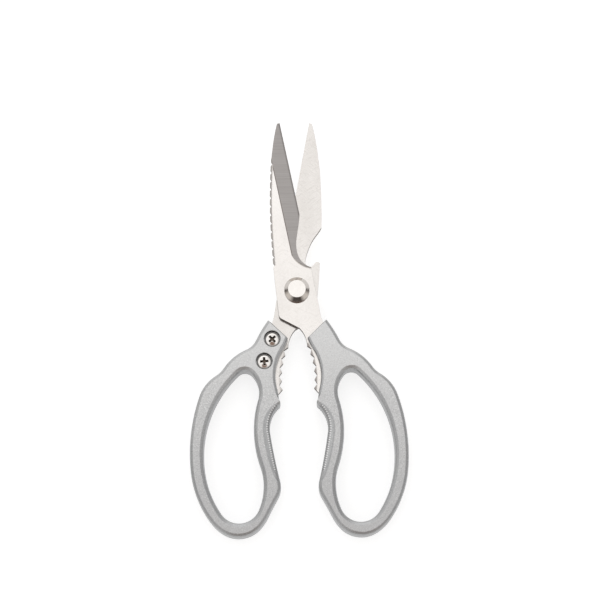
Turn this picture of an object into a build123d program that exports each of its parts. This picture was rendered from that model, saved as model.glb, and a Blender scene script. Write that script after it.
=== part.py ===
from build123d import *

import math
import os

# All-metal kitchen shears, in millimetres and degrees.
# Each half is drawn closed, in the front half's place: the pivot is at 0, 0, the tip lies along +Y,
# the handle hangs along -Y on the +X side, and Z = 0 is the plane where the two blades meet.
# The rear half is the same half turned over about the long axis.

# Overall sizes
blade_length = 85.0
handle_length = 119.5
handle_width = 44.0
blade_half_width = 10.0
blade_thickness = 3.0
handle_thickness = 11.0
blade_gap = 0.06
rest_opening = 10.6
open_limit = 90.6

# Cutting bevel
edge_land = 0.4
bevel_width = 8.0
edge_start_share = (0.06, 0.995)
edge_end_share = (0.80, 0.129)

# Scaler teeth on the back of the front blade
scaler_count = 13
scaler_depth = 1.0
scaler_slope_width = 1.6
scaler_steep_width = 0.6
scaler_chamfer = 1.15
scaler_foot = 0.8
scaler_span_shares = (0.265, 0.897)

# Jaw teeth on the tangs
jaw_tooth_count = 6
jaw_tooth_depth = 1.35

# Pivot stud
stud_diameter = 8.0
stud_head_diameter = 12.0
stud_flat_diameter = 8.4
stud_wall = 1.7
stud_cone = 1.8
stud_press_gap = 0.01
stud_running_gap = 0.05
stud_tail_diameter = 11.0
stud_tail_width = 5.0
stud_tail_thickness = 1.8
stud_tail_gap = 0.1
stud_tail_chamfer = 0.3
key_gap = 0.15

# Handle screws
screw_diameter = 4.0
screw_length = 6.0
screw_head_diameter = 7.0
screw_head_height = 2.6
screw_flat_diameter = 4.8
screw_rim_height = 1.5
screw_hole_diameter = 4.4
tapped_gap = 0.02
counterbore_diameter = 7.9
counterbore_depth = 3.4
blind_depth = 4.3
recess_width = 1.1
recess_span = 4.2
recess_depth = 1.6
screw_place_shares = ((0.222, -0.208), (0.287, -0.300))

# Handle casting
slot_gap = 0.1
loop_round = 1.5
hole_round = 1.8
jaw_round = 1.3
front_round = 0.4
grip_count = 30
grip_start_share = 0.14
grip_end_share = 0.96
grip_depth = 0.35
grip_groove_width = 0.8
scoop_width = 2.7
scoop_drop = 0.8
scoop_fade = 0.4
scoop_stations = 7
waist_round = 2.5

# One overrun serves every cut that has to pass clear of a face, and one small margin every cut along an edge
overrun = 2.0
cut_margin = 0.1

# Outline points as shares of the blade's half width and length
back_shares = (
    (-0.07, 0.992),
    (-0.29, 0.908),
    (-0.49, 0.804),
    (-0.62, 0.728),
    (-0.71, 0.654),
    (-0.79, 0.576),
    (-0.86, 0.494),
    (-0.92, 0.400),
    (-0.965, 0.282),
    (-0.99, 0.165),
    (-1.00, 0.060),
)
notch_shares = (
    (0.53, 0.447),
    (0.41, 0.379),
    (0.28, 0.321),
    (0.20, 0.267),
    (0.21, 0.226),
    (0.31, 0.182),
    (0.56, 0.147),
    (0.80, 0.129),
)
runout_shares = (
    (-0.13, 0.259),
    (-0.05, 0.200),
    (0.10, 0.168),
    (0.50, 0.127),
    (1.00, 0.112),
)
runout_lean_share = (0.6, 0.7)
opener_shares = (
    (-0.94, 0.388),
    (-0.77, 0.349),
    (-0.59, 0.314),
    (-0.44, 0.272),
    (-0.33, 0.224),
    (-0.29, 0.184),
    (-0.39, 0.154),
    (-0.57, 0.151),
    (-0.70, 0.164),
    (-0.78, 0.178),
    (-0.88, 0.182),
    (-0.97, 0.177),
)

# Ends of the handle's arcs, and its slot's points, as shares of its width and length
tang_side_shares = (
    (0.200, -0.008),
    (0.216, -0.058),
    (0.236, -0.130),
    (0.302, -0.196),
    (0.370, -0.267),
    (0.355, -0.321),
    (0.295, -0.371),
    (0.239, -0.408),
)
tang_end_shares = ((0.195, -0.4215), (0.112, -0.4215))
jaw_shares = ((0.045, -0.228), (0.091, -0.329), (0.070, -0.400))
throat_shares = ((-0.016, -0.154), (0.024, -0.179), (0.045, -0.228))
heel_share = (-0.222, -0.103)
head_shares = ((0.057, -0.2000), (0.284, -0.133))
side_shares = (
    (0.395, -0.218),
    (0.490, -0.258),
    (0.715, -0.340),
    (0.790, -0.372),
    (0.950, -0.462),
    (0.965, -0.765),
    (0.710, -0.950),
    (0.570, -0.989),
    (0.180, -0.955),
    (0.115, -0.912),
    (0.022, -0.831),
    (0.014, -0.770),
)
grip_shares = ((0.164, -0.580), (0.084, -0.470))
lug_share = (0.080, -0.459)
jaw_side_shares = ((0.095, -0.450), (0.130, -0.400), (0.100, -0.243), (0.057, -0.200))
hole_shares = (
    (0.823, -0.750),
    (0.557, -0.357),
    (0.405, -0.355),
    (0.320, -0.458),
    (0.241, -0.713),
    (0.214, -0.889),
    (0.605, -0.916),
)

# The direction in which each chain of arcs sets out
side_heading = -59.0
jaw_side_heading = 80.0
hole_heading = 77.0

half_gap = blade_gap / 2
face_height = half_gap + blade_thickness
half_handle = handle_thickness / 2


def places(shares, width, length):
    """Points on the plane from shares of a width and a length."""
    return [(x * width, y * length) for x, y in shares]


def blade_places(shares):
    return places(shares, blade_half_width, blade_length)


def handle_places(shares):
    return places(shares, handle_width, handle_length)


def prism(face, bottom, top):
    """A face drawn on Z = 0, extruded from one height to another."""
    return extrude(Pos(0, 0, bottom) * face, amount=top - bottom, dir=(0, 0, 1))


def closed_face(*lines):
    """A face inside lines that meet end to end."""
    return make_face(Wire.combine([edge for line in lines for edge in line.edges()])[0])


def arc_chain(heading, shares):
    """Arcs that set out along a heading, run smoothly into each other and end at places on the handle."""
    tangent = Vector(1, 0).rotate(Axis.Z, heading)
    points = handle_places(shares)
    arcs = []
    for start, end in zip(points, points[1:]):
        arc = TangentArc(start, end, tangent=tangent)
        tangent = arc % 1
        arcs.append(arc)
    return arcs


def join(arcs):
    """One wire along arcs that follow each other."""
    return Wire([arc.edge() for arc in arcs])


def closing_arcs(first, last):
    """The two arcs that run smoothly from the end of a chain back to its start."""
    leave = last % 1
    arrive = first % 0
    chord = (first @ 0) - (last @ 1)
    along = chord.dot(leave + arrive)
    spread = 2 * (1 - leave.dot(arrive))
    reach = (math.sqrt(along**2 + spread * chord.dot(chord)) - along) / spread
    joint = ((first @ 0) + (last @ 1) + (leave - arrive) * reach) / 2
    arc = TangentArc(last @ 1, joint, tangent=leave)
    return [arc, TangentArc(joint, first @ 0, tangent=arc % 1)]


def ramp_cutter(low_points, high_points, low_height, high_height):
    """Everything above a ruled slope between two curves."""
    low = Spline(*[(x, y, low_height) for x, y in low_points])
    high = Spline(*[(x, y, high_height) for x, y in high_points])
    slope = Face.make_surface_from_curves(low.edge(), high.edge())
    return Solid.extrude(slope, Vector(0, 0, blade_thickness + handle_thickness))


tip_left = blade_places(back_shares)[0]
tip_right = blade_places([edge_start_share])[0]
edge_end = blade_places([edge_end_share])[0]
back_curve = Spline(*blade_places(back_shares))


def jaw_teeth():
    """Corners of the jaw teeth, from the throat down to the end of the tang."""
    jaw = ThreePointArc(*handle_places(jaw_shares))
    steps = jaw_tooth_count - 1
    corners = []
    for i in range(jaw_tooth_count):
        tip = jaw @ (i / steps)
        corners.append((tip.X, tip.Y))
        if i < steps:
            middle = (i + 0.5) / steps
            valley = (jaw @ middle) + (jaw % middle).rotate(Axis.Z, 90) * jaw_tooth_depth
            corners.append((valley.X, valley.Y))
    return corners


def blade_outline(cutting_side):
    """The closed outline of a blade and its tang, given the edges from the tip to the end of the edge."""
    side = Spline(edge_end, *handle_places(tang_side_shares))
    end_outer, end_inner = handle_places(tang_end_shares)
    teeth = jaw_teeth()
    throat = ThreePointArc(*handle_places(throat_shares))
    heel = handle_places([heel_share])[0]
    waist = blade_places(back_shares)[-1]
    return closed_face(
        Line(tip_left, tip_right),
        *cutting_side,
        side,
        Polyline(side @ 1, end_outer, end_inner, *reversed(teeth)),
        throat,
        FilletPolyline(throat @ 0, heel, waist, radius=waist_round),
        back_curve,
    )


def bevel_cutter():
    """The long ground bevel: everything above one plane that rises from the cutting edge."""
    start = Vector(*tip_right)
    end = Vector(*edge_end)
    along = (end - start).normalized()
    slope = (blade_thickness - edge_land) / bevel_width
    beyond = bevel_width + overrun
    section = Polygon(
        (-overrun, edge_land - overrun * slope),
        (beyond, edge_land + beyond * slope),
        (-overrun, edge_land + beyond * slope),
        align=None,
    )
    inward = along.rotate(Axis.Z, -90)
    origin = start - along * overrun + Vector(0, 0, half_gap)
    frame = Plane(origin=origin, x_dir=inward, z_dir=-along)
    reach = (end - start).length + 2 * overrun
    return extrude(frame * section, amount=-reach) - runout_stop()


def runout_stop():
    """The block that the bevel stops against, with a curved wall that leans like a grinding wheel's rim."""
    rim = Spline(*blade_places(runout_shares))
    outside = blade_half_width + overrun
    corners = Polyline(rim @ 1, (outside, 0), (-outside, 0), (-outside, (rim @ 0).Y), rim @ 0)
    face = closed_face(rim, corners)
    fall = blade_thickness + overrun
    lean = Vector(*runout_lean_share, -1) * fall
    upright = prism(face, face_height, face_height + overrun)
    leaning = extrude(Pos(0, 0, face_height) * face, amount=lean.length, dir=lean.normalized())
    return upright + leaning


def scaler_cutters():
    """The chamfer and the slanting notches that make the scaler teeth."""
    first, last = scaler_span_shares
    stations = [first + (last - first) * i / (scaler_count - 1) for i in range(scaler_count)]
    outside = []
    inside = []
    for station in stations[::2]:
        point = back_curve @ station
        inward = (back_curve % station).rotate(Axis.Z, 90)
        outside.append(point - inward * cut_margin)
        inside.append(point + inward * scaler_chamfer)
    cutters = [
        ramp_cutter(
            [(p.X, p.Y) for p in outside],
            [(p.X, p.Y) for p in inside],
            half_gap + scaler_foot,
            face_height,
        )
    ]
    for station in stations:
        point = back_curve @ station
        down = back_curve % station
        inward = down.rotate(Axis.Z, 90)
        corners = [
            point + inward * scaler_depth,
            point - down * scaler_slope_width - inward * cut_margin,
            point - down * scaler_slope_width - inward * overrun,
            point + down * scaler_steep_width - inward * overrun,
            point + down * scaler_steep_width - inward * cut_margin,
        ]
        notch = make_face(Polyline(*corners, close=True))
        cutters.append(prism(notch, half_gap - overrun, face_height + overrun))
    return cutters


def opener_cutter():
    """The hooked notch of the bottle opener in a blade's back."""
    hook = Spline(*blade_places(opener_shares))
    outside = blade_half_width + overrun
    start = hook @ 0
    end = hook @ 1
    corners = Polyline(end, (-outside, end.Y), (-outside, start.Y), start)
    return prism(closed_face(hook, corners), half_gap - overrun, face_height + overrun)


def screw_centres():
    return handle_places(screw_place_shares)


def screw_holes(diameter, bottom, top):
    """One upright hole at each screw, between two heights."""
    hole = Circle(diameter / 2)
    return [prism(Pos(x, y) * hole, bottom, top) for x, y in screw_centres()]


def finish_plate(outline):
    """A blade plate with the bores for its two screws."""
    plate = prism(outline, half_gap, face_height)
    bores = screw_holes(screw_diameter + 2 * tapped_gap, half_gap - overrun, face_height + overrun)
    return plate - bores


def make_front_blade():
    notch = Spline(*blade_places(notch_shares))
    plate = finish_plate(blade_outline([Line(tip_right, notch @ 0), notch]))
    bore = Circle(stud_diameter / 2 + stud_press_gap)
    plate -= prism(bore, half_gap - overrun, face_height + overrun)
    plate -= bevel_cutter()
    plate -= scaler_cutters()
    return plate


def make_rear_blade():
    plate = finish_plate(blade_outline([Line(tip_right, edge_end)]))
    plate -= prism(Circle(stud_diameter / 2 + stud_running_gap), half_gap - overrun, face_height + overrun)
    plate -= prism(keyhole(), half_gap - overrun, face_height + overrun)
    plate -= bevel_cutter()
    plate -= opener_cutter()
    return plate


def keyhole():
    """The slot that lets the stud's tail through once the shears are opened to their limit."""
    length = stud_tail_diameter + 2 * key_gap
    width = stud_tail_width + 2 * key_gap
    return Rot(0, 0, -open_limit) * (Circle(length / 2) & Rectangle(length, width))


def handle_edges():
    """The casting's outside: front edge, loop, grip, the lug's two sides and the jaw side."""
    front = Line(*handle_places(head_shares))
    arcs = arc_chain(side_heading, (head_shares[1], *side_shares, *grip_shares))
    side = join(arcs[:-len(grip_shares)])
    grip = join(arcs[-len(grip_shares):])
    lug = handle_places([lug_share])[0]
    jaw_side = join(arc_chain(jaw_side_heading, jaw_side_shares))
    return front, side, grip, Line(grip @ 1, lug), Line(lug, jaw_side @ 0), jaw_side


def slot_cutter():
    """The slot that the tang slides into, open at the handle's front edge and along its jaw side."""
    side = Spline(edge_end, *handle_places(tang_side_shares))
    corner = handle_places(tang_end_shares)[0]
    inside = (-handle_width, corner[1])
    top_inside = (-handle_width, edge_end[1])
    face = closed_face(side, Polyline(side @ 1, corner, inside, top_inside, edge_end))
    return Pos(slot_gap, -slot_gap) * prism(face, half_gap, face_height)


def scoop_cutters(grip):
    """Long shallow ramps that lead from both flats down to the grip."""
    low = []
    high = []
    for i in range(scoop_stations):
        share = i / (scoop_stations - 1)
        point = grip @ share
        inward = (grip % share).rotate(Axis.Z, -90)
        bulge = math.sin(math.pi * share) ** scoop_fade
        low.append(point - inward * cut_margin)
        high.append(point + inward * (cut_margin + scoop_width * bulge))
    cutter = ramp_cutter(
        [(p.X, p.Y) for p in low],
        [(p.X, p.Y) for p in high],
        half_handle - scoop_drop,
        half_handle,
    )
    return [cutter, mirror(cutter, Plane.XY)]


def grip_cutters(grip):
    """Upright grooves that roughen the grip."""
    cutters = []
    for i in range(grip_count):
        share = grip_start_share + (grip_end_share - grip_start_share) * i / (grip_count - 1)
        point = grip @ share
        along = grip % share
        inward = along.rotate(Axis.Z, -90)
        half = along * grip_groove_width / 2
        mouth = point - inward * cut_margin
        groove = make_face(Polyline(mouth - half, point + inward * grip_depth, mouth + half, close=True))
        cutters.append(prism(groove, -half_handle - overrun, half_handle + overrun))
    return cutters


def lean(face):
    """How far a face leans over: 0 for an upright wall, 1 for a flat."""
    return abs(face.normal_at().Z)


def soften_rims(body, place, radius):
    """The rims of the two flats that pass a place on the plan, rounded off in two facets each."""
    near = radius * (1 - math.sqrt(0.5))
    fall = radius * near / (radius - near)
    for side in (1, -1):
        flat = body.faces().sort_by(Axis.Z)[-1 if side > 0 else 0]
        rim = flat.edges().sort_by_distance(Vector(place.X, place.Y, side * half_handle))[0]
        body = chamfer(rim, radius, fall, reference=flat)
        rim = body.edges().sort_by_distance(Vector(place.X, place.Y, side * (half_handle - fall)))[0]
        wall = min(body.faces().filter_by(lambda face: rim in face.edges()), key=lean)
        body = chamfer(rim, radius - fall, math.hypot(near, near - fall), reference=wall)
    return body


def make_handle():
    """The casting, with its slot on the front half's side of Z = 0 and its screws entering from below."""
    front, side, grip, lug, lug_end, jaw_side = handle_edges()
    body = prism(closed_face(front, side, grip, lug, lug_end, jaw_side), -half_handle, half_handle)
    body = soften_rims(body, side @ 0.5, loop_round)
    body = soften_rims(body, jaw_side @ 0.5, jaw_round)
    body = soften_rims(body, front @ 0.5, front_round)
    body -= scoop_cutters(grip)
    body -= grip_cutters(grip)
    loop = arc_chain(hole_heading, hole_shares)
    loop += closing_arcs(loop[0], loop[-1])
    body -= prism(closed_face(*loop), -half_handle - overrun, half_handle + overrun)
    body = soften_rims(body, loop[0] @ 0.5, hole_round)
    body -= slot_cutter()
    body -= screw_holes(screw_hole_diameter, -half_handle - overrun, half_gap)
    body -= screw_holes(counterbore_diameter, -half_handle - overrun, counterbore_depth - half_handle)
    body -= screw_holes(screw_diameter + 2 * tapped_gap, half_gap, blind_depth)
    return body


def make_stud():
    """Head, cone, shank, journal and the two-flatted tail, turned about the pivot axis."""
    head = face_height
    wall = head + stud_wall
    flat = wall + stud_cone
    tail_top = -face_height - stud_tail_gap
    tail_bottom = tail_top - stud_tail_thickness
    profile = Polyline(
        (0, flat),
        (stud_flat_diameter / 2, flat),
        (stud_head_diameter / 2, wall),
        (stud_head_diameter / 2, head),
        (stud_diameter / 2, head),
        (stud_diameter / 2, tail_top),
        (0, tail_top),
        close=True,
    )
    turned = revolve(Plane.XZ * make_face(profile), Axis.Z)
    shape = Circle(stud_tail_diameter / 2) & Rectangle(stud_tail_diameter, stud_tail_width)
    tail = prism(shape, tail_bottom, tail_top)
    tail = chamfer(tail.edges().group_by(Axis.Z)[0], stud_tail_chamfer)
    return turned + tail


def make_screw():
    """A pan head screw standing on the XY plane, head up, with a crossed recess."""
    profile = Polyline(
        (0, screw_head_height),
        (screw_flat_diameter / 2, screw_head_height),
        (screw_head_diameter / 2, screw_rim_height),
        (screw_head_diameter / 2, 0),
        (screw_diameter / 2, 0),
        (screw_diameter / 2, -screw_length),
        (0, -screw_length),
        close=True,
    )
    body = revolve(Plane.XZ * make_face(profile), Axis.Z)
    cross = Rectangle(recess_span, recess_width) + Rectangle(recess_width, recess_span)
    return body - prism(cross, screw_head_height - recess_depth, screw_head_height + overrun)


def turn_over(part):
    """A piece of the front half, turned over about the long axis into the rear half."""
    return Rot(0, 180, 0) * part


def make_front_half():
    """The front blade, the right handle, the stud and two screws, closed."""
    pieces = {"front_blade": make_front_blade(), "right_handle": make_handle(), "pivot_stud": make_stud()}
    for name, (x, y) in zip(("right_upper_screw", "right_lower_screw"), screw_centres()):
        seat = Pos(x, y, counterbore_depth - half_handle) * Rot(180, 0, 0)
        pieces[name] = seat * make_screw()
    return pieces


def make_rear_half():
    """The rear blade, the left handle and two screws, closed."""
    pieces = {"rear_blade": make_rear_blade(), "left_handle": make_handle()}
    for name, (x, y) in zip(("left_upper_screw", "left_lower_screw"), screw_centres()):
        seat = Pos(x, y, counterbore_depth - half_handle) * Rot(180, 0, 0)
        pieces[name] = seat * make_screw()
    return {name: turn_over(piece) for name, piece in pieces.items()}


pieces = {name: Rot(0, 0, rest_opening / 2) * piece for name, piece in make_front_half().items()}
pieces |= {name: Rot(0, 0, -rest_opening / 2) * piece for name, piece in make_rear_half().items()}

# The origin is the middle of the bounding box, at the bottom
boxes = [piece.bounding_box() for piece in pieces.values()]
middle_x = (min(box.min.X for box in boxes) + max(box.max.X for box in boxes)) / 2
middle_y = (min(box.min.Y for box in boxes) + max(box.max.Y for box in boxes)) / 2
bottom = min(box.min.Z for box in boxes)
shift = Pos(-middle_x, -middle_y, -bottom)

os.makedirs("parts", exist_ok=True)
for name, piece in pieces.items():
    export_step(shift * piece, f"parts/{name}.step")
print("pivot at", -middle_x, -middle_y, -bottom)
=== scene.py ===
import math

import bmesh
import bpy
from mathutils import Matrix, Vector


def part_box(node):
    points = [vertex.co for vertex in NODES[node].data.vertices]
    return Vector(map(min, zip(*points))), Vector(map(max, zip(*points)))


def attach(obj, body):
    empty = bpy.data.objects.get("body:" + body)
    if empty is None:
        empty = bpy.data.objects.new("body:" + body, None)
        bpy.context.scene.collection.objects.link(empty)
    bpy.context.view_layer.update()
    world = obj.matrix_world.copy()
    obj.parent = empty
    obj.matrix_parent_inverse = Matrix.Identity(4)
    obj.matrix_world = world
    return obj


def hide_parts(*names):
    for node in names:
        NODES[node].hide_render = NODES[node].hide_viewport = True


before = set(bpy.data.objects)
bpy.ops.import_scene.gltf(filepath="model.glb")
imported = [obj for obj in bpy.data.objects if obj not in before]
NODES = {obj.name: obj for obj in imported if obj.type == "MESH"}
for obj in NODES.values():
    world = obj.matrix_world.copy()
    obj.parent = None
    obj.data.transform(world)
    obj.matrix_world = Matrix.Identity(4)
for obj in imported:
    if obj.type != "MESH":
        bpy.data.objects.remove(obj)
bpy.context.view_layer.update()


# Camera

LOOK_AT = Vector((0.00142, 0.01252, 0.0055))
CAMERA_DISTANCE = 1.0
CAMERA_REACH = 20
CAMERA_TILT = math.radians(13.0)
CAMERA_LEAN = math.radians(0.85)
SENSOR_WIDTH = 36.0
MILLIMETRES = 1000
MILLIMETRES_PER_PIXEL = 0.4773
IMAGE_WIDTH = 600


def make_camera():
    """The photograph's view: from above, tilted a little towards the handles."""
    camera = bpy.data.cameras.new("camera")
    camera.sensor_width = SENSOR_WIDTH
    view_width = MILLIMETRES_PER_PIXEL * IMAGE_WIDTH
    camera.lens = SENSOR_WIDTH * CAMERA_DISTANCE * MILLIMETRES / view_width
    camera.clip_end = CAMERA_REACH
    holder = bpy.data.objects.new("camera", camera)
    holder.rotation_euler = (CAMERA_TILT, 0, -CAMERA_LEAN)
    back = holder.rotation_euler.to_matrix() @ Vector((0, 0, 1))
    holder.location = LOOK_AT + back * CAMERA_DISTANCE
    bpy.context.scene.collection.objects.link(holder)
    bpy.context.scene.camera = holder


# Node helpers

# Sockets of a mix node, which has one set for numbers and one for colours.
MIX_FACTOR, MIX_FIRST_NUMBER, MIX_SECOND_NUMBER, MIX_FIRST_COLOUR, MIX_SECOND_COLOUR = 0, 2, 3, 6, 7
MIX_NUMBER, MIX_COLOUR = 0, 2


def new_material(name):
    """An empty material: the material, its node tree and its principled shader."""
    material = bpy.data.materials.new(name)
    material.use_nodes = True
    tree = material.node_tree
    return material, tree, tree.nodes["Principled BSDF"]


def add_node(tree, kind, inputs=None, **settings):
    """A node of a kind, with its settings and its inputs, each a value or another node's output."""
    node = tree.nodes.new(kind)
    for key, value in settings.items():
        setattr(node, key, value)
    for key, value in (inputs or {}).items():
        if isinstance(value, bpy.types.NodeSocket):
            tree.links.new(value, node.inputs[key])
        else:
            node.inputs[key].default_value = value
    return node


def add_math(tree, operation, *values):
    return add_node(tree, "ShaderNodeMath", dict(enumerate(values)), operation=operation).outputs[0]


def add_times(tree, first, second):
    return add_math(tree, "MULTIPLY", first, second)


def add_rest(tree, share):
    """What a share leaves of 1."""
    return add_math(tree, "SUBTRACT", 1.0, share)


def add_distance(tree, value, middle):
    """How far a value lies from the middle value, on either side."""
    return add_math(tree, "ABSOLUTE", add_math(tree, "SUBTRACT", value, middle))


def add_parts(tree, vector):
    """The X, Y and Z of a vector."""
    outputs = add_node(tree, "ShaderNodeSeparateXYZ", {0: vector}).outputs
    return outputs["X"], outputs["Y"], outputs["Z"]


def add_step(tree, value, low, high):
    """A smooth step from 0 at the low value to 1 at the high value."""
    inputs = {"Value": value, "From Min": low, "From Max": high}
    return add_node(tree, "ShaderNodeMapRange", inputs, interpolation_type="SMOOTHSTEP").outputs["Result"]


def add_ramp(tree, value, *stops):
    """A colour ramp through stops, each a position with a grey or a colour."""
    node = add_node(tree, "ShaderNodeValToRGB", {"Fac": value})
    elements = node.color_ramp.elements
    while len(elements) < len(stops):
        elements.new(0.5)
    for element, (position, colour) in zip(elements, stops):
        element.position = position
        rgb = (colour,) * 3 if isinstance(colour, (int, float)) else colour
        element.color = (*rgb, 1)
    return node.outputs["Color"]


def add_mix(tree, factor, first, second):
    """A colour mixed from two colours or outputs."""
    node = add_node(tree, "ShaderNodeMix", data_type="RGBA")
    for index, value in ((MIX_FACTOR, factor), (MIX_FIRST_COLOUR, first), (MIX_SECOND_COLOUR, second)):
        if isinstance(value, bpy.types.NodeSocket):
            tree.links.new(value, node.inputs[index])
        elif index == MIX_FACTOR:
            node.inputs[index].default_value = value
        else:
            node.inputs[index].default_value = (*value, 1)
    return node.outputs[MIX_COLOUR]


def add_tint(tree, base, colour, mask, strength=None):
    """A base colour turned into another one where a mask is 1, fully or up to a strength."""
    factor = mask if strength is None else add_times(tree, mask, strength)
    return add_mix(tree, factor, base, colour)


def add_choice(tree, factor, first, second):
    """The first number where the factor is 0, the second one where it is 1."""
    inputs = {MIX_FACTOR: factor, MIX_FIRST_NUMBER: first, MIX_SECOND_NUMBER: second}
    return add_node(tree, "ShaderNodeMix", inputs).outputs[MIX_NUMBER]


def add_place(tree, angle=0.0, scale=(1, 1, 1)):
    """Places on the object, turned about Z and stretched, for marks that run along one direction."""
    place = add_node(tree, "ShaderNodeTexCoord").outputs["Object"]
    inputs = {"Vector": place, "Rotation": (0, 0, angle), "Scale": tuple(1 / share for share in scale)}
    return add_node(tree, "ShaderNodeMapping", inputs, vector_type="TEXTURE").outputs["Vector"]


def add_noise(tree, vector, scale=1.0, detail=4.0, roughness=0.6):
    inputs = {"Vector": vector, "Scale": scale, "Detail": detail, "Roughness": roughness}
    return add_node(tree, "ShaderNodeTexNoise", inputs).outputs[0]


def add_bump(tree, height, distance, strength, normal=None):
    inputs = {"Height": height, "Distance": distance, "Strength": strength}
    if normal:
        inputs["Normal"] = normal
    return add_node(tree, "ShaderNodeBump", inputs).outputs["Normal"]


def add_rounding(tree, radius):
    """Normals that run softly over the edges of a piece."""
    return add_node(tree, "ShaderNodeBevel", {"Radius": radius}, samples=6).outputs["Normal"]


def add_uprightness(tree):
    """The Z share of the surface's own normal: 1 on a flat, 0 on a wall."""
    normal = add_node(tree, "ShaderNodeNewGeometry").outputs["True Normal"]
    return add_math(tree, "ABSOLUTE", add_parts(tree, normal)[2])


def add_arc(tree, x, y, centre, radius, start):
    """How far a place lies outside an arc's radius, and how far along the arc it is."""
    right = add_math(tree, "SUBTRACT", x, centre[0])
    up = add_math(tree, "SUBTRACT", y, centre[1])
    square = add_math(tree, "MULTIPLY_ADD", right, right, add_math(tree, "MULTIPLY", up, up))
    depth = add_math(tree, "SUBTRACT", add_math(tree, "SQRT", square), radius)
    turn = add_math(tree, "SUBTRACT", add_math(tree, "ARCTAN2", up, right), start)
    return depth, add_math(tree, "MULTIPLY", turn, radius)


# Blade steel. Colours are linear, here and below, and a pair is a grain's deep and light tone.

BEVEL_UPRIGHTNESS = 0.951
BEVEL_MARGIN = 0.03
CHAMFER_UPRIGHTNESS = 0.8
WALL_UPRIGHTNESS = 0.3
BLADE_MIDDLE_HEIGHT = 0.0055
BLADE_FRONT_HEIGHT = 0.0085
BLADE_ROUNDING = 0.00012

# The roots of the front blade's jaw teeth lie on this arc, and the rear blade's on its mirror image.
JAW_ARC_CENTRE = (-0.0313, -0.0263)
JAW_ARC_RADIUS = 0.0404
JAW_TOP = -0.0095

HATCH_TURN = 0.95
SCRATCHES_PER_METRE = (1100, 130, 1100)
HATCH_PER_METRE = (1500, 240, 1500)
GRINDING_PER_METRE = (40, 2600, 40)
BLADE_CLOUDS_PER_METRE = (110, 45, 110)
SCRATCH_STRENGTH = 0.12

SCRATCH_COLOUR = (0.66, 0.62, 0.585)
# Painted highlight: the flats turn lighter towards the tip.
TIP_PAINTED_HIGHLIGHT_COLOUR = (0.94, 0.908, 0.88)
# Painted shade on the jaw's teeth.
TOOTH_PAINTED_SHADE_COLOUR = (0.20, 0.175, 0.16)
BEVEL_COLOURS = (0.53, 0.497, 0.478), (0.612, 0.578, 0.559)
# Partly the cutting edge's narrow land, partly painted shade.
CUTTING_EDGE_LAND_AND_SHADE_COLOUR = (0.18, 0.16, 0.15)
# Painted shade: a thin dark line along the bevel's top.
BEVEL_TOP_PAINTED_SHADE_COLOUR = (0.30, 0.255, 0.235)
CHAMFER_COLOURS = (0.35, 0.33, 0.315), (0.50, 0.475, 0.455)
GROUND_WALL_COLOURS = (0.15, 0.13, 0.115), (0.26, 0.235, 0.215)
# The blanked walls near the loops, darkened further with painted shade.
RAW_WALL_AND_SHADE_COLOURS = (0.055, 0.043, 0.037), (0.14, 0.118, 0.104)


def add_grain(tree, value, colours, low=0.3, high=0.7):
    """A grain's deep tone below the low value, and its light tone above the high one."""
    deep, light = colours
    return add_ramp(tree, value, (low, deep), (high, light))


def add_blade_flat(tree, lean, hatch, colours, cloud, scratches):
    """The flats' colour: soft clouds under long scratches and a hatch of crossed hairs."""
    rising = add_noise(tree, add_place(tree, lean + HATCH_TURN, HATCH_PER_METRE), detail=2.0)
    falling = add_noise(tree, add_place(tree, lean - HATCH_TURN, HATCH_PER_METRE), detail=2.0)
    hairs = add_math(tree, "MAXIMUM", rising, falling)
    long_marks = add_times(tree, add_step(tree, scratches, 0.50, 0.80), SCRATCH_STRENGTH)
    cross_marks = add_times(tree, add_step(tree, hairs, 0.52, 0.68), hatch)
    marks = add_math(tree, "MAXIMUM", long_marks, cross_marks)
    return add_tint(tree, add_grain(tree, cloud, colours, 0.32, 0.68), SCRATCH_COLOUR, marks)


def add_tooth_mask(tree, x, y, lean):
    """1 on the teeth of a blade's jaw, which stand inside the arc of their roots."""
    across = add_times(tree, x, math.copysign(1.0, lean))
    outside, _ = add_arc(tree, across, y, JAW_ARC_CENTRE, JAW_ARC_RADIUS, 0.0)
    inside = add_rest(tree, add_step(tree, outside, -0.0005, 0.0003))
    return add_times(tree, inside, add_step(tree, y, JAW_TOP + 0.001, JAW_TOP))


def add_blade_bevel(tree, grinding, z):
    """The bevel's colour: grinding marks between a cutting edge darkened partly as its narrow land and partly
    with painted shade, and a painted shade line at its top.
    """
    colour = add_grain(tree, grinding, BEVEL_COLOURS, 0.36, 0.64)
    off_edge = add_distance(tree, z, BLADE_MIDDLE_HEIGHT)
    edge = add_rest(tree, add_step(tree, off_edge, 0.00035, 0.0008))
    # A dark band along the cutting edge: partly its narrow land, partly painted shade.
    colour = add_tint(tree, colour, CUTTING_EDGE_LAND_AND_SHADE_COLOUR, edge, 0.92)
    top = add_step(tree, z, BLADE_FRONT_HEIGHT - 0.00014, BLADE_FRONT_HEIGHT - 0.00006)
    # Painted shade: a thin dark line where the bevel meets the flat.
    return add_tint(tree, colour, BEVEL_TOP_PAINTED_SHADE_COLOUR, top, 0.9)


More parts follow.
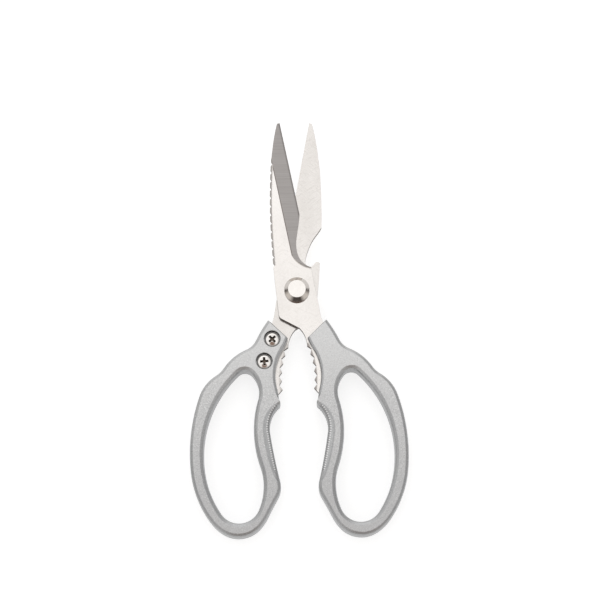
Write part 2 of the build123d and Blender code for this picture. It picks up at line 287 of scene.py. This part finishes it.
def make_blade_steel(name, lean, hatch, light, deep, tip_painted_highlight, tooth_painted_shade):
    """Satin steel: scratched flats, grinding marks across the bevel, and rougher, darker edges, with painted
    shade on the jaw's teeth, the cutting edge, the bevel's top line and the walls near the loops, and a painted
    highlight towards the tip.
    """
    material, tree, shader = new_material(name)
    x, y, z = add_parts(tree, add_place(tree))
    scratches = add_noise(tree, add_place(tree, lean, SCRATCHES_PER_METRE))
    grinding = add_noise(tree, add_place(tree, lean, GRINDING_PER_METRE), detail=3.0)
    cloud = add_noise(tree, add_place(tree, lean, BLADE_CLOUDS_PER_METRE), detail=2.0)

    upright = add_uprightness(tree)
    bevel = add_math(tree, "LESS_THAN", add_distance(tree, upright, BEVEL_UPRIGHTNESS), BEVEL_MARGIN)
    chamfer = add_math(tree, "LESS_THAN", upright, CHAMFER_UPRIGHTNESS)
    wall = add_math(tree, "LESS_THAN", upright, WALL_UPRIGHTNESS)

    flat_colour = add_blade_flat(tree, lean, hatch, (deep, light), cloud, scratches)
    # Painted highlight: the flats are lightened towards the tip.
    flat_colour = add_tint(tree, flat_colour, TIP_PAINTED_HIGHLIGHT_COLOUR, add_step(tree, y, 0.040, 0.070), tip_painted_highlight)
    # Painted shade: the jaw's teeth are darkened.
    flat_colour = add_tint(tree, flat_colour, TOOTH_PAINTED_SHADE_COLOUR, add_tooth_mask(tree, x, y, lean), tooth_painted_shade)
    bevel_colour = add_blade_bevel(tree, grinding, z)
    high_slope = add_step(tree, z, BLADE_FRONT_HEIGHT - 0.0006, BLADE_FRONT_HEIGHT - 0.0003)
    chamfer_colour = add_tint(tree, add_grain(tree, grinding, CHAMFER_COLOURS), light, high_slope, 0.7)
    ground_wall = add_grain(tree, grinding, GROUND_WALL_COLOURS)
    # Near the loops the walls are the dark blanked edge, darkened further with painted shade along the lug and
    # throat.
    raw_wall_and_shade = add_grain(tree, grinding, RAW_WALL_AND_SHADE_COLOURS)
    wall_colour = add_mix(tree, add_step(tree, y, 0.012, 0.008), ground_wall, raw_wall_and_shade)

    colour = add_mix(tree, bevel, flat_colour, bevel_colour)
    colour = add_mix(tree, chamfer, colour, chamfer_colour)
    colour = add_mix(tree, wall, colour, wall_colour)
    tree.links.new(colour, shader.inputs["Base Color"])
    shader.inputs["Metallic"].default_value = 1.0
    rough = add_math(tree, "MULTIPLY_ADD", cloud, 0.06, 0.13)
    rough = add_math(tree, "MULTIPLY_ADD", chamfer, 0.35, rough)
    rough = add_math(tree, "MULTIPLY_ADD", bevel, 0.13, rough)
    tree.links.new(rough, shader.inputs["Roughness"])
    marks = add_mix(tree, bevel, scratches, grinding)
    bumps = add_bump(tree, marks, 0.00001, 0.15, add_rounding(tree, BLADE_ROUNDING))
    tree.links.new(bumps, shader.inputs["Normal"])
    return material


# Polished steel and the screws' recesses

FLANK_UPRIGHTNESS = 0.85
SIDE_UPRIGHTNESS = 0.2
WEAR_COLOUR = (0.70, 0.66, 0.62)
# Painted shade on the upright sides.
SIDE_PAINTED_SHADE_COLOUR = (0.16, 0.13, 0.11)
STUD_ROUNDING = 0.00015
SCREW_ROUNDING = 0.0001
# Painted shade inside the screws' recesses.
RECESS_PAINTED_SHADE_COLOURS = (0.09, 0.07, 0.055), (0.22, 0.185, 0.155)


def make_polished_steel(name, light, deep, flank_painted_shade, rounding):
    """Bright turned steel with faint clouds of wear, flanks darkened with painted shade and sides darkened with
    painted shade.
    """
    material, tree, shader = new_material(name)
    cloud = add_noise(tree, add_place(tree, 0, (300, 300, 300)), detail=3.0)
    fine = add_noise(tree, add_place(tree, 0.4, (2600, 2600, 2600)))
    upright = add_uprightness(tree)
    colour = add_grain(tree, cloud, (deep, light))
    colour = add_tint(tree, colour, WEAR_COLOUR, add_step(tree, fine, 0.62, 0.80))
    # Painted shade: the flanks are darkened.
    colour = add_tint(tree, colour, flank_painted_shade, add_math(tree, "LESS_THAN", upright, FLANK_UPRIGHTNESS))
    # Painted shade: the sides are darkened.
    colour = add_tint(tree, colour, SIDE_PAINTED_SHADE_COLOUR, add_math(tree, "LESS_THAN", upright, SIDE_UPRIGHTNESS))
    tree.links.new(colour, shader.inputs["Base Color"])
    shader.inputs["Metallic"].default_value = 1.0
    tree.links.new(add_math(tree, "MULTIPLY_ADD", cloud, 0.10, 0.07), shader.inputs["Roughness"])
    bumps = add_bump(tree, fine, 0.000003, 0.25, add_rounding(tree, rounding))
    tree.links.new(bumps, shader.inputs["Normal"])
    return material


def make_recess_shade_steel(name):
    """The inside of a screw's recess, darkened with painted shade."""
    material, tree, shader = new_material(name)
    grain = add_noise(tree, add_place(tree), 3000)
    # Painted shade: the recess is darkened.
    tree.links.new(add_grain(tree, grain, RECESS_PAINTED_SHADE_COLOURS), shader.inputs["Base Color"])
    shader.inputs["Metallic"].default_value = 1.0
    tree.links.new(add_math(tree, "MULTIPLY_ADD", grain, 0.2, 0.3), shader.inputs["Roughness"])
    tree.links.new(add_bump(tree, grain, 0.00002, 0.3), shader.inputs["Normal"])
    return material


# Cast alloy

# Each grip follows two arcs. Their places are in millimetres from the pivot, with the shears closed.
HALF_OPENING = math.radians(5.3)
FAR_ARC_CENTRE = (-249.409, -7.025)
FAR_ARC_RADIUS = 264.0755
NEAR_ARC_CENTRE = (-6.582, -65.961)
NEAR_ARC_RADIUS = 14.199
GRIP_START = math.radians(-18.775)
GRIP_BEND = math.radians(-13.643)
GRIP_END = math.radians(43.62)
GRIP_COUNT = 30
GRIP_START_SHARE = 0.14
GRIP_END_SHARE = 0.96
GRIP_FADE_SHARE = 0.02
RIB_REACH = 1.25
SCOOP_WIDTH = 2.7
SCOOP_FADE = 0.4

RIM_UPRIGHTNESS = (0.60, 0.80)
FACE_UPRIGHTNESS = (0.97, 0.99)
HOLE_WALL_UPRIGHTNESS = 0.25
ALLOY_ROUNDING = 0.0004

SPECKLE_COLOURS = (0.50, 0.50, 0.50), (0.60, 0.60, 0.597), (0.95, 0.95, 0.945)
MOTTLE_COLOUR = (0.64, 0.64, 0.636)
ALLOY_CLOUD_COLOUR = (0.55, 0.552, 0.555)
# Lighter towards the blades, and below, darker towards the loops.
LIGHTER_TOWARDS_BLADES_COLOUR = (0.80, 0.80, 0.795)
DARKER_TOWARDS_LOOPS_COLOUR = (0.42, 0.42, 0.425)
# Painted shade on the rims.
RIM_PAINTED_SHADE_COLOUR = (0.33, 0.335, 0.34)
# Painted shade on the finger holes' walls.
HOLE_WALL_PAINTED_SHADE_COLOUR = (0.27, 0.274, 0.28)
# Painted shade on the slopes between rims and faces.
SLOPE_PAINTED_SHADE_COLOUR = (0.34, 0.345, 0.35)
# Painted shade in the hollows between the ribs.
RIB_HOLLOW_PAINTED_SHADE_COLOUR = (0.24, 0.24, 0.245)
# Painted shadow along the scoop.
SCOOP_PAINTED_SHADOW_COLOUR = (0.22, 0.225, 0.235)
# Painted highlight on the ribs' tips.
RIB_TIP_PAINTED_HIGHLIGHT_COLOUR = (0.93, 0.93, 0.925)


def add_band(tree, value, middle, core, reach):
    """1 close to the middle value, fading to 0 at its reach on both sides."""
    return add_rest(tree, add_step(tree, add_distance(tree, value, middle), core, reach))


def add_grip_place(tree, side):
    """X and Y in millimetres from the pivot, with the shears closed, mirrored for the left handle."""
    low, high = (Vector(corner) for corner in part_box("pivot_stud"))
    pivot = Vector(((low.x + high.x) / 2, (low.y + high.y) / 2, 0))
    turn = Matrix.Rotation(-HALF_OPENING, 3, "Z")
    inputs = {
        "Vector": add_node(tree, "ShaderNodeTexCoord").outputs["Object"],
        "Location": -(turn @ pivot) * MILLIMETRES,
        "Rotation": (0, 0, -HALF_OPENING),
        "Scale": (side * MILLIMETRES, MILLIMETRES, MILLIMETRES),
    }
    place = add_node(tree, "ShaderNodeMapping", inputs, vector_type="POINT").outputs["Vector"]
    return add_parts(tree, place)[:2]


def add_grip(tree, side):
    """Masks of a handle's grip: its ribs, the wave over them, the painted highlights on their tips and the
    painted shadow along the scoop's line.
    """
    x, y = add_grip_place(tree, side)
    far_depth, far_way = add_arc(tree, x, y, FAR_ARC_CENTRE, FAR_ARC_RADIUS, GRIP_START)
    near_depth, near_way = add_arc(tree, x, y, NEAR_ARC_CENTRE, NEAR_ARC_RADIUS, GRIP_BEND)
    far_length = FAR_ARC_RADIUS * (GRIP_BEND - GRIP_START)
    length = far_length + NEAR_ARC_RADIUS * (GRIP_END - GRIP_BEND)
    on_near = add_math(tree, "GREATER_THAN", far_way, far_length)
    depth = add_choice(tree, on_near, far_depth, near_depth)
    way = add_choice(tree, on_near, far_way, add_math(tree, "ADD", near_way, far_length))
    share = add_math(tree, "DIVIDE", way, length)

    begun = add_step(tree, share, GRIP_START_SHARE - GRIP_FADE_SHARE, GRIP_START_SHARE)
    ended = add_step(tree, share, GRIP_END_SHARE, GRIP_END_SHARE + GRIP_FADE_SHARE)
    within = add_math(tree, "SUBTRACT", begun, ended)
    pitch = length * (GRIP_END_SHARE - GRIP_START_SHARE) / (GRIP_COUNT - 1)
    past_first = add_math(tree, "SUBTRACT", way, GRIP_START_SHARE * length)
    wave = add_math(tree, "COSINE", add_times(tree, past_first, 2 * math.pi / pitch))
    crest = add_math(tree, "MULTIPLY_ADD", wave, -0.5, 0.5)
    inner_end = add_step(tree, depth, -1.0, -0.6)
    outer_end = add_step(tree, depth, RIB_REACH - 0.3, RIB_REACH)
    ribs = add_times(tree, add_math(tree, "SUBTRACT", inner_end, outer_end), within)
    # Where the painted highlights on the ribs' tips go.
    tips = add_times(tree, add_band(tree, depth, RIB_REACH, 0.15, 0.5), within)
    tips = add_times(tree, tips, add_step(tree, crest, 0.35, 0.8))

    bow = add_math(tree, "SINE", add_times(tree, share, math.pi))
    bow = add_math(tree, "POWER", add_math(tree, "MAXIMUM", bow, 0.0), SCOOP_FADE)
    off_scoop = add_math(tree, "SUBTRACT", depth, add_times(tree, bow, SCOOP_WIDTH))
    # Where the painted shadow along the scoop goes.
    line = add_times(tree, add_band(tree, off_scoop, 0.35, 0.15, 0.55), add_step(tree, bow, 0.1, 0.5))
    return ribs, crest, tips, line


def make_cast_alloy(name, side):
    """Silvery satin casting: a fine sparkle, soft clouds, a tone lighter towards the blades and darker towards
    the loops, rims, slopes and hole walls darkened with painted shade, and a ribbed grip with painted shade in
    its hollows, a painted shadow along the scoop and painted highlights on the rib tips.
    """
    material, tree, shader = new_material(name)
    place = add_place(tree)
    speckle = add_noise(tree, place, 1700, detail=6.0, roughness=0.8)
    mottle = add_noise(tree, place, 420, detail=3.0)
    cloud = add_noise(tree, place, 60, detail=2.0)
    colour = add_ramp(tree, speckle, *zip((0.40, 0.52, 0.68), SPECKLE_COLOURS))
    colour = add_tint(tree, colour, MOTTLE_COLOUR, add_step(tree, mottle, 0.35, 0.75), 0.4)
    colour = add_tint(tree, colour, ALLOY_CLOUD_COLOUR, cloud, 0.25)

    along = add_parts(tree, place)[1]
    # Lighter towards the blades, darker towards the loops.
    colour = add_tint(tree, colour, LIGHTER_TOWARDS_BLADES_COLOUR, add_step(tree, along, -0.045, -0.005), 0.42)
    colour = add_tint(tree, colour, DARKER_TOWARDS_LOOPS_COLOUR, add_step(tree, along, -0.040, -0.085), 0.30)

    upright = add_uprightness(tree)
    off_rim = add_step(tree, upright, *RIM_UPRIGHTNESS)
    # Painted shade: the rims are darkened.
    colour = add_tint(tree, colour, RIM_PAINTED_SHADE_COLOUR, add_rest(tree, off_rim), 0.80)
    hole_wall = add_math(tree, "LESS_THAN", upright, HOLE_WALL_UPRIGHTNESS)
    # Painted shade: the finger holes' walls are darkened.
    colour = add_tint(tree, colour, HOLE_WALL_PAINTED_SHADE_COLOUR, hole_wall)
    slope = add_math(tree, "SUBTRACT", off_rim, add_step(tree, upright, *FACE_UPRIGHTNESS))
    # Painted shade: the slopes between rims and faces are darkened.
    colour = add_tint(tree, colour, SLOPE_PAINTED_SHADE_COLOUR, slope, 0.34)

    ribs, crest, tips, line = add_grip(tree, side)
    hollow = add_times(tree, ribs, add_math(tree, "MULTIPLY_ADD", crest, -0.35, 0.60))
    # Painted shade: the hollows between the ribs are darkened.
    colour = add_tint(tree, colour, RIB_HOLLOW_PAINTED_SHADE_COLOUR, hollow)
    # Painted shadow: a dark line along the scoop.
    colour = add_tint(tree, colour, SCOOP_PAINTED_SHADOW_COLOUR, line, 0.45)
    # Painted highlight: the ribs' tips are lightened.
    colour = add_tint(tree, colour, RIB_TIP_PAINTED_HIGHLIGHT_COLOUR, tips, 0.8)
    tree.links.new(colour, shader.inputs["Base Color"])
    shader.inputs["Metallic"].default_value = 0.9
    tree.links.new(add_math(tree, "MULTIPLY_ADD", speckle, 0.20, 0.20), shader.inputs["Roughness"])
    rib_height = add_times(tree, ribs, crest)
    ribbed = add_bump(tree, rib_height, 0.0002, 0.5, add_rounding(tree, ALLOY_ROUNDING))
    grain = add_math(tree, "MULTIPLY_ADD", mottle, 1.5, speckle)
    tree.links.new(add_bump(tree, grain, 0.00003, 0.30, ribbed), shader.inputs["Normal"])
    return material


def give(node, material):
    """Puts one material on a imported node."""
    for slot in NODES[node].material_slots:
        slot.material = material


# Screws

SCREW_SEGMENTS = 72
SCREW_RIM_SHARE = 0.76
SCREW_RIM_CHAMFER = 0.0002
SCREW_DOME_STEPS = 14
SCREW_CROWN = 2.6
SCREW_SHANK_RADIUS = 0.00195
SCREW_END_SHARE = 0.7
SCREW_THREAD_DEPTH = 0.00022
SCREW_THREAD_PITCH = 0.0007
SCREW_HEAD_HEIGHT = 0.0026
SCREW_SOFTENING = 0.00007
SCREW_SOFT_ANGLE = math.radians(40)
SCREW_SHARP_ANGLE = math.radians(35)
CROSS_SPAN = 0.0042
CROSS_WIDTH = 0.00115
CROSS_DEPTH = 0.0019
CROSS_FOOT_SHARE = 0.45
CROSS_LEAST_WIDTH_SHARE = 0.4
CROSS_RISE = 0.0003
CROSS_RISE_SHARE = 1.08
CROSS_TURNS = (("upper", 0.75), ("lower", 0.06))


def screw_profile(radius, shank_length):
    """Radius and height from the middle of the domed head, over its rim, down the threaded shank to its end."""
    rim = SCREW_HEAD_HEIGHT * SCREW_RIM_SHARE
    rows = []
    for i in range(1, SCREW_DOME_STEPS + 1):
        share = math.sin(math.pi / 2 * i / SCREW_DOME_STEPS)
        rows.append((radius * share, rim + (SCREW_HEAD_HEIGHT - rim) * (1 - share**SCREW_CROWN)))
    rows.append((radius, SCREW_RIM_CHAMFER))
    rows.append((radius - SCREW_RIM_CHAMFER, 0.0))
    rows.append((SCREW_SHANK_RADIUS, 0.0))
    for i in range(int(shank_length / SCREW_THREAD_PITCH) - 1):
        top = -SCREW_THREAD_PITCH * (i + 0.5)
        rows.append((SCREW_SHANK_RADIUS - SCREW_THREAD_DEPTH, top))
        rows.append((SCREW_SHANK_RADIUS, top - SCREW_THREAD_PITCH / 2))
    rows.append((SCREW_SHANK_RADIUS * SCREW_END_SHARE, -shank_length))
    return rows


def spin_profile(name, top, rows, bottom):
    """A closed mesh turned about Z from rows of radius and height, with a point on the axis at each end."""
    mesh = bpy.data.meshes.new(name)
    bm = bmesh.new()
    rings = []
    for radius, height in rows:
        angles = [2 * math.pi * i / SCREW_SEGMENTS for i in range(SCREW_SEGMENTS)]
        rings.append([bm.verts.new((radius * math.cos(a), radius * math.sin(a), height)) for a in angles])
    head = bm.verts.new((0, 0, top))
    tail = bm.verts.new((0, 0, bottom))
    for i in range(SCREW_SEGMENTS):
        j = (i + 1) % SCREW_SEGMENTS
        bm.faces.new((head, rings[0][i], rings[0][j]))
        bm.faces.new((tail, rings[-1][j], rings[-1][i]))
        for upper, lower in zip(rings, rings[1:]):
            bm.faces.new((upper[i], lower[i], lower[j], upper[j]))
    bmesh.ops.recalc_face_normals(bm, faces=bm.faces)
    bm.to_mesh(mesh)
    bm.free()
    return mesh


def cross_corners(span, width):
    """The twelve corners of an upright cross."""
    far, near = span / 2, width / 2
    arm = [(far, -near), (far, near), (near, near)]
    return [Matrix.Rotation(math.pi / 2 * turn, 2) @ Vector(corner) for turn in range(4) for corner in arm]


def make_cross_cutter():
    """The tapered cross that is cut out of a screw's head."""
    mesh = bpy.data.meshes.new("cross_cutter")
    bm = bmesh.new()
    levels = (
        (SCREW_HEAD_HEIGHT + CROSS_RISE, CROSS_RISE_SHARE),
        (SCREW_HEAD_HEIGHT, 1.0),
        (SCREW_HEAD_HEIGHT - CROSS_DEPTH, CROSS_FOOT_SHARE),
    )
    rings = []
    for height, share in levels:
        width_share = CROSS_LEAST_WIDTH_SHARE + (1 - CROSS_LEAST_WIDTH_SHARE) * share
        corners = cross_corners(CROSS_SPAN * share, CROSS_WIDTH * width_share)
        rings.append([bm.verts.new((x, y, height)) for x, y in corners])
    for upper, lower in zip(rings, rings[1:]):
        for i in range(len(upper)):
            j = (i + 1) % len(upper)
            bm.faces.new((upper[i], upper[j], lower[j], lower[i]))
    bm.faces.new(rings[0])
    bm.faces.new(rings[-1])
    bmesh.ops.recalc_face_normals(bm, faces=bm.faces)
    bm.to_mesh(mesh)
    bm.free()
    return mesh


def make_screw_mesh(radius, shank_length, steel, recess):
    """One pan head screw with a cross recess, head up and seat at the origin."""
    mesh = spin_profile("screw", SCREW_HEAD_HEIGHT, screw_profile(radius, shank_length), -shank_length)
    mesh.materials.append(steel)
    cutter_mesh = make_cross_cutter()
    cutter_mesh.materials.append(recess)
    body = bpy.data.objects.new("screw_body", mesh)
    cutter = bpy.data.objects.new("screw_cutter", cutter_mesh)
    for item in (body, cutter):
        bpy.context.scene.collection.objects.link(item)
    cut = body.modifiers.new("cross", "BOOLEAN")
    cut.operation = "DIFFERENCE"
    cut.solver = "EXACT"
    cut.material_mode = "TRANSFER"
    cut.object = cutter
    soften = body.modifiers.new("soften", "BEVEL")
    soften.width = SCREW_SOFTENING
    soften.segments = 2
    soften.limit_method = "ANGLE"
    soften.angle_limit = SCREW_SOFT_ANGLE
    graph = bpy.context.evaluated_depsgraph_get()
    result = bpy.data.meshes.new_from_object(body.evaluated_get(graph))
    for item in (body, cutter):
        bpy.data.objects.remove(item)
    result.shade_smooth()
    result.set_sharp_from_angle(angle=SCREW_SHARP_ANGLE)
    return result


def place_screws(steel, recess):
    """The four handle screws: heads up in the left handle, heads down in the right one."""
    for side, body, head_up in (("left", "rear_half", True), ("right", "front_half", False)):
        for level, cross_turn in CROSS_TURNS:
            node = f"{side}_{level}_screw"
            low, high = (Vector(corner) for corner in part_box(node))
            radius = (high.x - low.x) / 2
            shank_length = high.z - low.z - SCREW_HEAD_HEIGHT
            mesh = make_screw_mesh(radius, shank_length, steel, recess)
            mesh.transform(Matrix.Rotation(cross_turn, 4, "Z"))
            if not head_up:
                mesh.transform(Matrix.Rotation(math.pi, 4, "X"))
            seat = high.z - SCREW_HEAD_HEIGHT if head_up else low.z + SCREW_HEAD_HEIGHT
            middle = ((low.x + high.x) / 2, (low.y + high.y) / 2, seat)
            mesh.transform(Matrix.Translation(middle))
            screw = bpy.data.objects.new(f"{node}_detail", mesh)
            bpy.context.scene.collection.objects.link(screw)
            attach(screw, body)
            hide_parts(node)


# Floor and light

FLOOR_SIZE = 6.0
FLOOR_DROP = 0.0001
FLOOR_TONE = 0.50
FLOOR_LIFT = 0.74
TOWARDS_PHOTOGRAPHER = Vector((0, -math.sin(CAMERA_TILT), math.cos(CAMERA_TILT)))

# In the world, +Y is the direction of the blades' tips, -Y that of the loops, and +Z is overhead.
LOW_SKY_COLOURS = (0.050, 0.036, 0.028), (0.95, 0.91, 0.87)
HIGH_SKY_TONES = (0.30, 0.40), (0.74, 0.54), (0.89, 1.00), (0.95, 1.06)
FAR_END_COLOUR = (1.0, 1.0, 1.0)
LOW_FILL_COLOUR = (0.90, 0.88, 0.86)
NEAR_END_COLOUR = (0.30, 0.265, 0.245)
TOP_PANEL_COLOUR = (1.2, 1.2, 1.2)
LENS_GAP_COLOUR = (0.26, 0.185, 0.15)
LENS_GAP_EDGE = math.cos(math.radians(18))
LENS_GAP_CORE = math.cos(math.radians(10))

KEY_LAMP_PLACE = (-1.1, 0.9, 1.2)
KEY_LAMP_SIZE = 1.4
KEY_LAMP_POWER = 1.8


def make_floor():
    """A plain pale sheet that keeps the shears' shadow and looks white, also in the metal's reflections."""
    half = FLOOR_SIZE / 2
    corners = [(x * half, y * half, -FLOOR_DROP) for x, y in ((-1, -1), (1, -1), (1, 1), (-1, 1))]
    mesh = bpy.data.meshes.new("floor")
    mesh.from_pydata(corners, [], [(0, 1, 2, 3)])
    floor = bpy.data.objects.new("floor", mesh)
    bpy.context.scene.collection.objects.link(floor)
    material, tree, shader = new_material("pale_sheet")
    shader.inputs["Base Color"].default_value = (FLOOR_TONE, FLOOR_TONE, FLOOR_TONE, 1)
    shader.inputs["Roughness"].default_value = 1.0
    shader.inputs["Specular IOR Level"].default_value = 0.0
    shader.inputs["Emission Color"].default_value = (1, 1, 1, 1)
    rays = add_node(tree, "ShaderNodeLightPath").outputs
    mirrored = add_math(tree, "MAXIMUM", rays["Is Glossy Ray"], rays["Is Transmission Ray"])
    seen = add_math(tree, "MAXIMUM", rays["Is Camera Ray"], mirrored)
    tree.links.new(add_math(tree, "MULTIPLY", seen, FLOOR_LIFT), shader.inputs["Emission Strength"])
    mesh.materials.append(material)


def add_low_sky(tree, x, y, z):
    """The tent's sides: light walls with dark corners on the diagonals."""
    ahead = add_distance(tree, y, 0.28)
    across = add_times(tree, add_times(tree, x, x), ahead)
    level = add_rest(tree, add_times(tree, z, z))
    level = add_math(tree, "MAXIMUM", level, 0.001)
    diagonal = add_math(tree, "DIVIDE", add_times(tree, across, 1.4), level)
    diagonal = add_math(tree, "ADD", diagonal, add_step(tree, y, 0.55, 0.85))
    return add_grain(tree, diagonal, LOW_SKY_COLOURS, 0.24, 0.75)


def add_high_sky(tree, x, y, z):
    """The tent's roof: brighter overhead and towards the tips, darker high up beyond the loops."""
    sky = add_ramp(tree, z, *HIGH_SKY_TONES)
    far_end = add_times(tree, add_step(tree, y, 0.35, 0.65), add_step(tree, z, 0.50, 0.80))
    sky = add_tint(tree, sky, FAR_END_COLOUR, far_end, 0.4)
    low = add_step(tree, z, 0.72, 0.60)
    low_fill = add_times(tree, add_step(tree, y, -0.30, -0.55), low)
    sky = add_tint(tree, sky, LOW_FILL_COLOUR, low_fill)
    near_end = add_times(tree, add_step(tree, y, -0.22, -0.42), add_step(tree, x, -0.38, -0.20))
    near_end = add_times(tree, near_end, add_rest(tree, low))
    sky = add_tint(tree, sky, NEAR_END_COLOUR, near_end, 0.75)
    central = add_step(tree, add_math(tree, "ABSOLUTE", x), 0.45, 0.20)
    top_panel = add_times(tree, central, add_step(tree, y, 0.45, 0.65))
    return add_tint(tree, sky, TOP_PANEL_COLOUR, top_panel)


def make_world():
    """A studio tent: light walls with dark low corners, a brighter roof, and the dark gap at the lens."""
    world = bpy.data.worlds.new("tent")
    bpy.context.scene.world = world
    world.use_nodes = True
    tree = world.node_tree
    direction = add_node(tree, "ShaderNodeTexCoord").outputs["Generated"]
    x, y, z = add_parts(tree, direction)
    sky = add_mix(tree, add_step(tree, z, 0.20, 0.42), add_low_sky(tree, x, y, z), add_high_sky(tree, x, y, z))
    inputs = {0: direction, 1: TOWARDS_PHOTOGRAPHER}
    nearness = add_node(tree, "ShaderNodeVectorMath", inputs, operation="DOT_PRODUCT").outputs["Value"]
    gap = add_step(tree, nearness, LENS_GAP_EDGE, LENS_GAP_CORE)
    sky = add_tint(tree, sky, LENS_GAP_COLOUR, gap)
    background = tree.nodes["Background"]
    tree.links.new(sky, background.inputs["Color"])
    background.inputs["Strength"].default_value = 1.0


def add_lamp(name, place, size, power):
    """A square soft lamp that faces the shears."""
    lamp = bpy.data.lights.new(name, "AREA")
    lamp.shape = "SQUARE"
    lamp.size = size
    lamp.energy = power
    holder = bpy.data.objects.new(name, lamp)
    holder.location = place
    holder.rotation_euler = (-Vector(place)).to_track_quat("-Z", "Y").to_euler()
    bpy.context.scene.collection.objects.link(holder)


FRONT_BLADE_LOOK = dict(
    lean=HALF_OPENING, hatch=0.20, light=(0.90, 0.862, 0.828), deep=(0.842, 0.804, 0.77),
    tip_painted_highlight=0.8, tooth_painted_shade=0.75,
)
REAR_BLADE_LOOK = dict(
    lean=-HALF_OPENING, hatch=0.34, light=(0.835, 0.80, 0.768), deep=(0.767, 0.733, 0.699),
    tip_painted_highlight=0.0, tooth_painted_shade=0.35,
)
STUD_LOOK = dict(
    light=(0.95, 0.91, 0.87), deep=(0.89, 0.85, 0.81), flank_painted_shade=(0.56, 0.53, 0.50), rounding=STUD_ROUNDING,
)
SCREW_LOOK = dict(
    light=(0.93, 0.90, 0.87), deep=(0.84, 0.80, 0.76), flank_painted_shade=(0.80, 0.76, 0.72), rounding=SCREW_ROUNDING,
)


def dress_nodes():
    """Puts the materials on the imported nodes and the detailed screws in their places."""
    give("front_blade", make_blade_steel("front_blade_steel", **FRONT_BLADE_LOOK))
    give("rear_blade", make_blade_steel("rear_blade_steel", **REAR_BLADE_LOOK))
    give("pivot_stud", make_polished_steel("stud_steel", **STUD_LOOK))
    give("left_handle", make_cast_alloy("left_cast_alloy", -1))
    give("right_handle", make_cast_alloy("right_cast_alloy", 1))
    place_screws(make_polished_steel("screw_steel", **SCREW_LOOK), make_recess_shade_steel("recess_shade_steel"))


make_camera()
make_floor()
make_world()
add_lamp("key_lamp", KEY_LAMP_PLACE, KEY_LAMP_SIZE, KEY_LAMP_POWER)
dress_nodes()

bpy.context.scene.view_settings.view_transform = "Standard"
